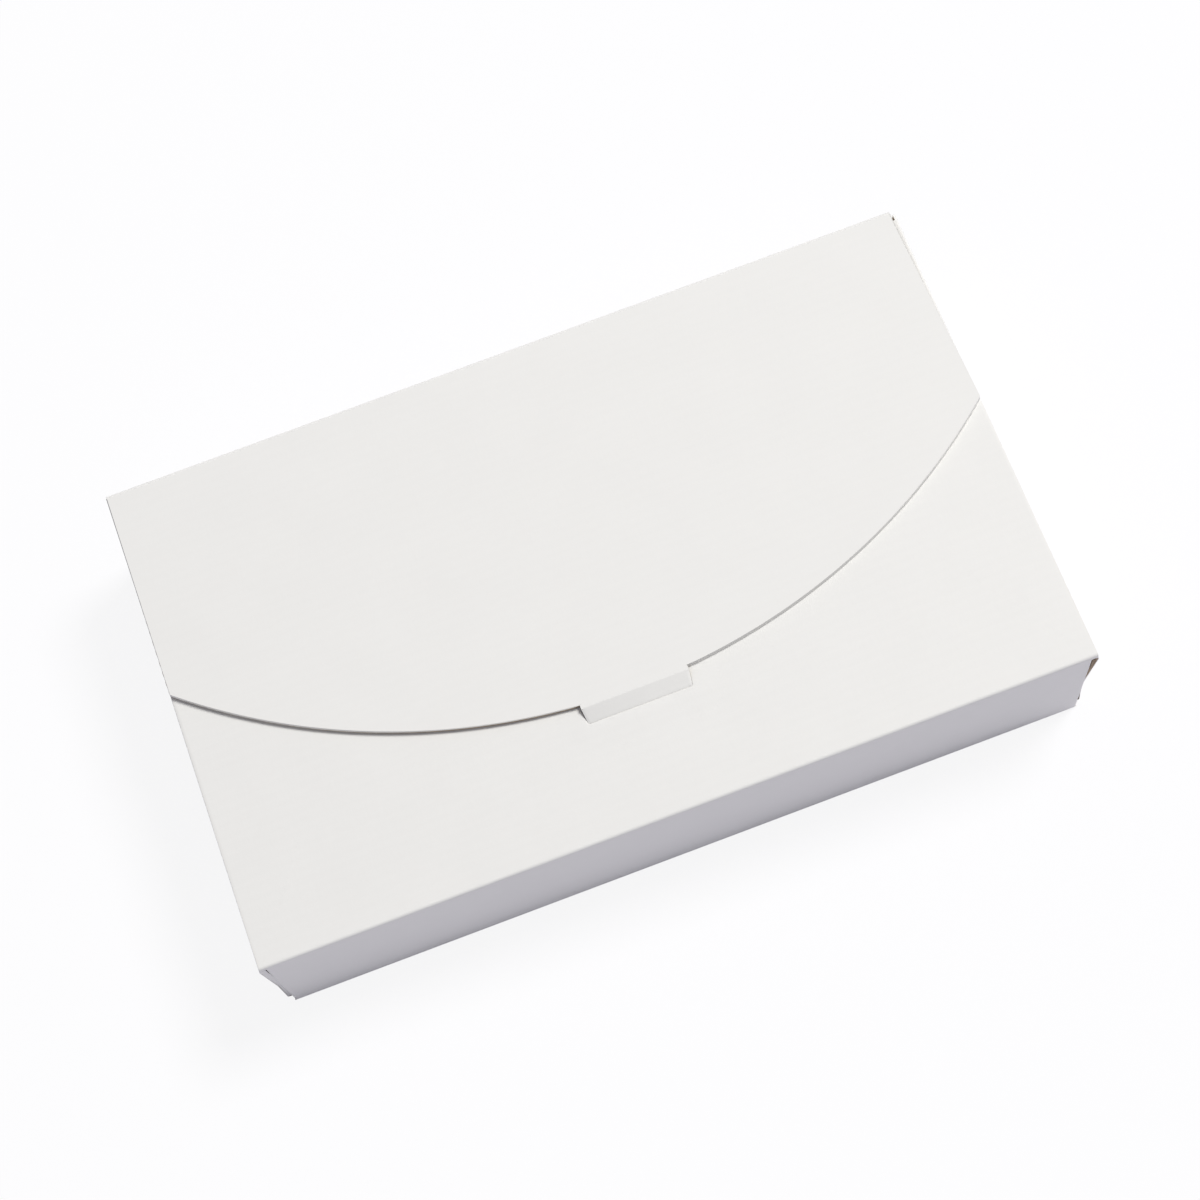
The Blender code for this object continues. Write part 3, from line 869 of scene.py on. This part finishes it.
def tab_sheet(heights_at):
    """A layer of the bent tab as rows down its length, between the heights in the board at each length."""
    body = bmesh.new()
    previous = None
    line = tab_line()
    total = line[-1][0]
    rows = []
    for here, there in zip(line, line[1:]):
        count = max(1, round((there[0] - here[0]) / (FLUTE_PITCH / FLUTE_STEPS)))
        for step in range(count):
            share = step / count
            rows.append(tuple(a + (b - a) * share for a, b in zip(here, there)))
    rows.append(line[-1])
    for length, forward, down, slope in rows:
        half = tab_half_width(down)
        left_to_tip = total - length
        points = []
        for share in TAB_COLUMNS:
            x = share * half
            from_edge = min(half - abs(x), left_to_tip)
            press = TAB_PRESS_DEPTH * max(0, 1 - from_edge / PRESS_WIDTH) ** 2
            pair = []
            for height in heights_at(length, press):
                pair.append(body.verts.new((
                    x,
                    TAB_HINGE_Y - forward - height * math.sin(slope),
                    TAB_HINGE_Z - down + height * math.cos(slope))))
            points.append(pair)
        if previous is not None:
            for index in range(len(points) - 1):
                for side in (0, 1):
                    body.faces.new((
                        previous[index][side], previous[index + 1][side],
                        points[index + 1][side], points[index][side]))
            for index in (0, len(points) - 1):
                body.faces.new((previous[index][0], previous[index][1], points[index][1], points[index][0]))
        if previous is None or length == total:
            for index in range(len(points) - 1):
                body.faces.new((
                    points[index][0], points[index + 1][0], points[index + 1][1], points[index][1]))
        previous = points
    bmesh.ops.recalc_face_normals(body, faces=body.faces)
    for item in body.faces:
        item.smooth = True
    return body


def tab_half_width(down):
    """Half the tab's width this far below its crease, with the taper and the round corners at its tip."""
    down = max(0, min(TAB_DEPTH, down))
    half = TAB_WIDTH / 2 - (TAB_WIDTH - TAB_TIP_WIDTH) / 2 * down / TAB_DEPTH
    into = down - (TAB_DEPTH - TAB_CORNER_RADIUS)
    if into > 0:
        half -= TAB_CORNER_RADIUS - math.sqrt(max(0, TAB_CORNER_RADIUS ** 2 - into ** 2))
    return half


def outer_layer(length, press):
    return HALF_BOARD - press, HALF_BOARD - press - LINER


def inner_layer(length, press):
    return LINER - HALF_BOARD, -HALF_BOARD


def wave_layer(length, press):
    wave = WAVE_HEIGHT * math.sin(math.tau * length / FLUTE_PITCH)
    middle = min(wave, HALF_BOARD - LINER - press - MEDIUM / 2)
    return middle + MEDIUM / 2, middle - MEDIUM / 2


# Tuck tab
tab_face = add_piece(
    "lid_tab_face", [(tab_sheet(outer_layer), 0)], Matrix.Identity(4), [white], "tab")
add_piece(
    "lid_tab_core", [(tab_sheet(wave_layer), 1), (tab_sheet(inner_layer), 0)], Matrix.Identity(4),
    [kraft, middle_paper], "tab")
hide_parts("lid_tab")

# Front flap
half_wide = HALF_LENGTH - FLAP_SIDE_INSET
corners = [
    (-half_wide, CREASE_RADIUS, 0),
    (half_wide, CREASE_RADIUS, 0),
    (half_wide, FLAP_LENGTH, FLAP_CORNER_RADIUS),
    (-half_wide, FLAP_LENGTH, FLAP_CORNER_RADIUS)]
outer_line = [
    (forward + HALF_BOARD * math.sin(slope), TAB_HINGE_Z - down + HALF_BOARD * math.cos(slope))
    for run, forward, down, slope in tab_line()]
lip_under = FLAP_TOP + SLOT_LIP_LIFT - HOLE_PRESS_DEPTH - LINER
lip_reach = min(forward for forward, height in outer_line if height < lip_under)
tab_reach = max(forward for forward, height in outer_line)
crease_of_tab = BOX_DEPTH - TAB_ROOT - FOLD_GAP - HALF_BOARD
front_half = tab_half_width(FLAP_UNDER_LID) + SLOT_SEEN_GAP
rear_half = TAB_WIDTH / 2 + SLOT_SEEN_GAP
slot_rear = crease_of_tab + SLOT_REAR_REACH
slot, core_slot = [
    [(-front_half, front, SLOT_CORNER_RADIUS), (front_half, front, SLOT_CORNER_RADIUS),
     (rear_half, slot_rear, SLOT_CORNER_RADIUS), (-rear_half, slot_rear, SLOT_CORNER_RADIUS)]
    for front in (crease_of_tab - lip_reach, crease_of_tab - tab_reach - SLOT_SEEN_GAP)]
slot_outline = rounded_outline(slot)


def slot_lift(x, y):
    """How far the tucked tab lifts the paper in front of the slot."""
    away = edge_distance([slot_outline], x, y, SLOT_LIP_REACH) / SLOT_LIP_REACH
    in_front = max(0, min(1, (slot_rear - y) / (slot_rear - slot[0][1])))
    return SLOT_LIP_LIFT * in_front * (1 - away * away * (3 - 2 * away))


panel(
    "front_flap", corners, [slot], ((1, CREASE_RADIUS),), 1,
    (0, -HALF_DEPTH, FLAP_TOP - HALF_BOARD), (0, 0, 0), "flap", white, core_holes=[core_slot], lift=slot_lift)

# Printed liner round the creases of the tray
R = CREASE_RADIUS
for side, word in ((-1, "front"), (1, "back")):
    inside = Vector((0, side * (HALF_DEPTH - R), R))
    profile = [(side * INNER_SIDE, 0)]
    profile += [(side * (HALF_DEPTH - R) + side * R * sine, R - R * cosine) for sine, cosine in QUARTER_TURN]
    crease_strip(word + "_floor_crease", profile, inside, 0, -INNER_END, INNER_END, "tray", white)
    for end, prefix in ((-1, "left"), (1, "right")):
        inside = Vector((end * (INNER_END - R), side * (HALF_DEPTH - R), BOX_HEIGHT / 2))
        profile = [
            (end * (INNER_END - R) + end * R * sine, side * (HALF_DEPTH - R) + side * R * cosine)
            for sine, cosine in QUARTER_TURN]
        profile.append((end * INNER_END, side * INNER_SIDE))
        top = RIM_TOP if side < 0 else FLAP_TOP
        crease_strip(word + "_" + prefix + "_corner_crease", profile, inside, 2, R, top, "tray", white)
for end, prefix in ((-1, "left"), (1, "right")):
    inside = Vector((end * (HALF_LENGTH - R), 0, R))
    profile = [(end * INNER_END, 0)]
    profile += [(end * (HALF_LENGTH - R) + end * R * sine, R - R * cosine) for sine, cosine in QUARTER_TURN]
    crease_strip(prefix + "_floor_crease", profile, inside, 1, -INNER_SIDE, INNER_SIDE, "tray", white)
    inside = Vector((end * (HALF_LENGTH - R), 0, RIM_TOP - R))
    profile = [(end * HALF_LENGTH, ROLL_TOP)]
    profile += [
        (end * (HALF_LENGTH - R) + end * R * cosine, RIM_TOP - R + R * sine) for sine, cosine in QUARTER_TURN]
    crease_strip(prefix + "_outer_roll", profile, inside, 1, -HALF_DEPTH, HALF_DEPTH, "tray", white)
    outline = [(end * (HALF_LENGTH - BOARD), ROLL_TOP), (end * (HALF_LENGTH - LINER), ROLL_TOP)]
    outline += [
        (end * (HALF_LENGTH - R) + end * (R - LINER) * cosine, RIM_TOP - R + (R - LINER) * sine)
        for sine, cosine in QUARTER_TURN]
    outline += [(end * (HALF_LENGTH - R), RIM_BOTTOM), (end * (HALF_LENGTH - BOARD), RIM_BOTTOM)]
    front = 2 * LINER - HALF_DEPTH if end < 0 else -HALF_DEPTH
    crease_core(prefix + "_roll_core", outline, front, HALF_DEPTH, "tray")
    inner = HALF_LENGTH - ROLL_WIDTH
    inside = Vector((end * (inner + R), 0, RIM_TOP - R))
    profile = [
        (end * (inner + R) - end * R * sine, RIM_TOP - R + R * cosine) for sine, cosine in QUARTER_TURN]
    profile.append((end * inner, ROLL_TOP))
    crease_strip(prefix + "_inner_roll", profile, inside, 1, -INNER_SIDE, INNER_SIDE, "tray", white)

# Printed liner across the three hinges
inside = Vector((0, -HALF_DEPTH + R, FLAP_TOP - R))
profile = [(-HALF_DEPTH, RIM_TOP)]
profile += [(-HALF_DEPTH + R - R * cosine, FLAP_TOP - R + R * sine) for sine, cosine in QUARTER_TURN]
strip = crease_strip("front_flap_crease", profile, inside, 0, -half_wide, half_wide, None, white)
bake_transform(strip)

inside = Vector((0, HALF_DEPTH - R, BOX_HEIGHT - R))
profile = [(HALF_DEPTH, FLAP_TOP)]
profile += [(HALF_DEPTH - R + R * cosine, BOX_HEIGHT - R + R * sine) for sine, cosine in QUARTER_TURN]
strip = crease_strip("lid_crease", profile, inside, 0, -half_front, half_back, None, white)
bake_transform(strip)

inside = Vector((0, TAB_HINGE_Y, TAB_HINGE_Z))
profile = [(HALF_DEPTH - TAB_ROOT, BOX_HEIGHT)]
for step in range(CREASE_STEPS + 1):
    slope = TAB_SLOPE * step / CREASE_STEPS
    profile.append((
        TAB_HINGE_Y - HALF_BOARD * math.sin(slope), TAB_HINGE_Z + HALF_BOARD * math.cos(slope)))
strip = crease_strip("lid_tab_crease", profile, inside, 0, -TAB_WIDTH / 2, TAB_WIDTH / 2, None, white)
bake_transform(strip)

# Inner liner across the hinges of the front flap and the tab
inner_crease(
    "front_flap_inner_crease", (BOARD - HALF_DEPTH, RIM_TOP), (R - HALF_DEPTH, FLAP_BOTTOM),
    (-HALF_DEPTH, FLAP_TOP), INNER_END - R)
inner_crease(
    "lid_tab_inner_crease", (HALF_DEPTH - TAB_ROOT, LID_BOTTOM),
    (TAB_HINGE_Y + HALF_BOARD * math.sin(TAB_SLOPE), TAB_HINGE_Z - HALF_BOARD * math.cos(TAB_SLOPE)),
    (TAB_HINGE_Y, TAB_HINGE_Z), TAB_WIDTH / 2)

# Studio floor: white to the camera, apart from the object's shadow
floor_mesh = bpy.data.meshes.new("floor")
floor_mesh.from_pydata([(-FLOOR_REACH, -FLOOR_REACH, 0), (FLOOR_REACH, -FLOOR_REACH, 0),
                        (FLOOR_REACH, FLOOR_REACH, 0), (-FLOOR_REACH, FLOOR_REACH, 0)], [], [(0, 1, 2, 3)])
floor = bpy.data.objects.new("floor", floor_mesh)
floor.location = (0, 0, -FLOOR_DROP)
bpy.context.scene.collection.objects.link(floor)
ground = bpy.data.materials.new("ground")
ground.use_nodes = True
nodes = ground.node_tree.nodes
links = ground.node_tree.links
shader = nodes["Principled BSDF"]
shader.inputs["Base Color"].default_value = FLOOR_COLOUR
shader.inputs["Roughness"].default_value = FLOOR_ROUGHNESS
rays = nodes.new("ShaderNodeLightPath")
share = nodes.new("ShaderNodeMath")
share.operation = "MULTIPLY"
share.inputs[1].default_value = FLOOR_WHITENESS
links.new(rays.outputs["Is Camera Ray"], share.inputs[0])
glow = nodes.new("ShaderNodeEmission")
glow.inputs["Color"].default_value = WHITE
glow.inputs["Strength"].default_value = 1
total = nodes.new("ShaderNodeMixShader")
links.new(share.outputs[0], total.inputs["Fac"])
links.new(shader.outputs[0], total.inputs[1])
links.new(glow.outputs[0], total.inputs[2])
links.new(total.outputs[0], nodes["Material Output"].inputs["Surface"])
floor_mesh.materials.append(ground)

# Light: soft from all round, white to the camera, and one large lamp
world = bpy.data.worlds.new("studio")
bpy.context.scene.world = world
world.use_nodes = True
nodes = world.node_tree.nodes
links = world.node_tree.links
soft = nodes["Background"]
soft.inputs["Color"].default_value = STUDIO_COLOUR
soft.inputs["Strength"].default_value = STUDIO_STRENGTH
seen = nodes.new("ShaderNodeBackground")
seen.inputs["Color"].default_value = WHITE
seen.inputs["Strength"].default_value = 1
rays = nodes.new("ShaderNodeLightPath")
mix = nodes.new("ShaderNodeMixShader")
links.new(rays.outputs["Is Camera Ray"], mix.inputs["Fac"])
links.new(soft.outputs[0], mix.inputs[1])
links.new(seen.outputs[0], mix.inputs[2])
links.new(mix.outputs[0], nodes["World Output"].inputs["Surface"])

light = bpy.data.lights.new("key", "AREA")
light.shape = "DISK"
light.size = LAMP_SIZE
light.energy = LAMP_POWER
light.color = LAMP_COLOUR
lamp = bpy.data.objects.new("key", light)
lamp.location = LAMP_PLACE
lamp.rotation_euler = (LAMP_TARGET - LAMP_PLACE).to_track_quat("-Z", "Y").to_euler()
bpy.context.scene.collection.objects.link(lamp)

# Camera
back = Vector((
    math.cos(ELEVATION) * math.sin(AZIMUTH), -math.cos(ELEVATION) * math.cos(AZIMUTH), math.sin(ELEVATION)))
side = Vector((math.cos(AZIMUTH), math.sin(AZIMUTH), 0))
up = side.cross(-back)
right_axis = side * math.cos(ROLL) + up * math.sin(ROLL)
up_axis = up * math.cos(ROLL) - side * math.sin(ROLL)
camera = bpy.data.objects.new("camera", bpy.data.cameras.new("camera"))
camera.data.lens = LENS
camera.data.sensor_width = SENSOR
camera.data.clip_start = CLIP_START
camera.data.clip_end = CLIP_END
turn = Matrix((right_axis, up_axis, back)).transposed().to_4x4()
camera.matrix_world = Matrix.Translation(AIM + back * DISTANCE) @ turn
bpy.context.scene.collection.objects.link(camera)
bpy.context.scene.camera = camera
bpy.context.scene.view_settings.view_transform = "Standard"
